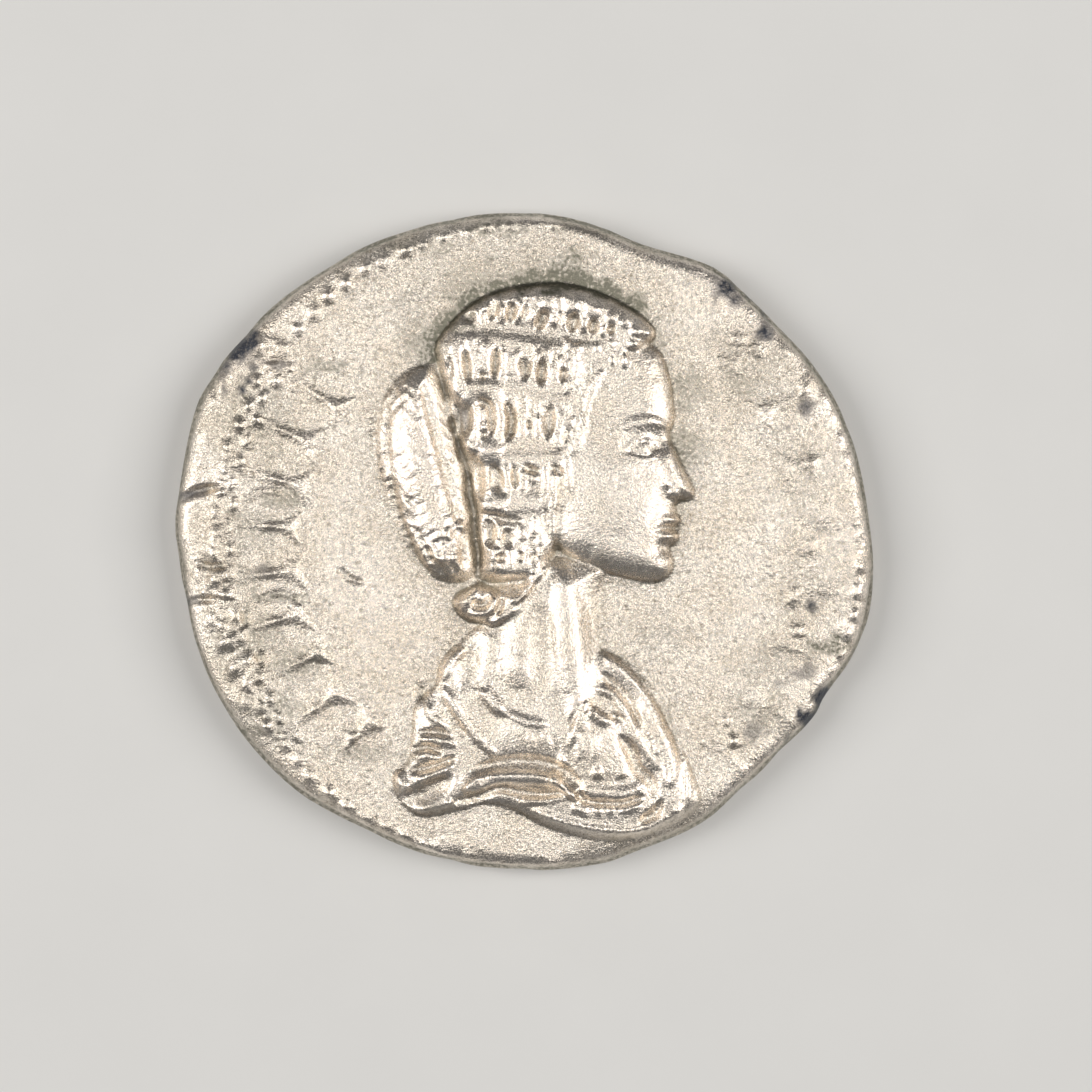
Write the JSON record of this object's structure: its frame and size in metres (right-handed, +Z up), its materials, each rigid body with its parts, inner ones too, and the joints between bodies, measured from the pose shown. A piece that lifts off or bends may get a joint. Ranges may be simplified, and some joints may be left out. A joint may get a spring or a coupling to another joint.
{
  "type": "denarius coin",
  "caption": "Worn ancient silver coin on an uneven round blank: a draped bust in profile above, a standing draped figure below, each in a ring of dots with shallow strokes.",
  "frame": {"origin": "middle of the coin's box, on the surface that it lies on", "axes": "+X to the side that the bust looks to, +Y to the top of the bust, +Z up out of the obverse; the reverse is underneath, upright when turned about the Y axis"},
  "size_m": [0.0186, 0.0176, 0.0019],
  "materials": {
    "struck_silver": "worn struck silver alloy, pale warm grey, finely granular"
  },
  "bodies": {
    "root": {"coin": "struck_silver"}
  },
  "joints": []
}
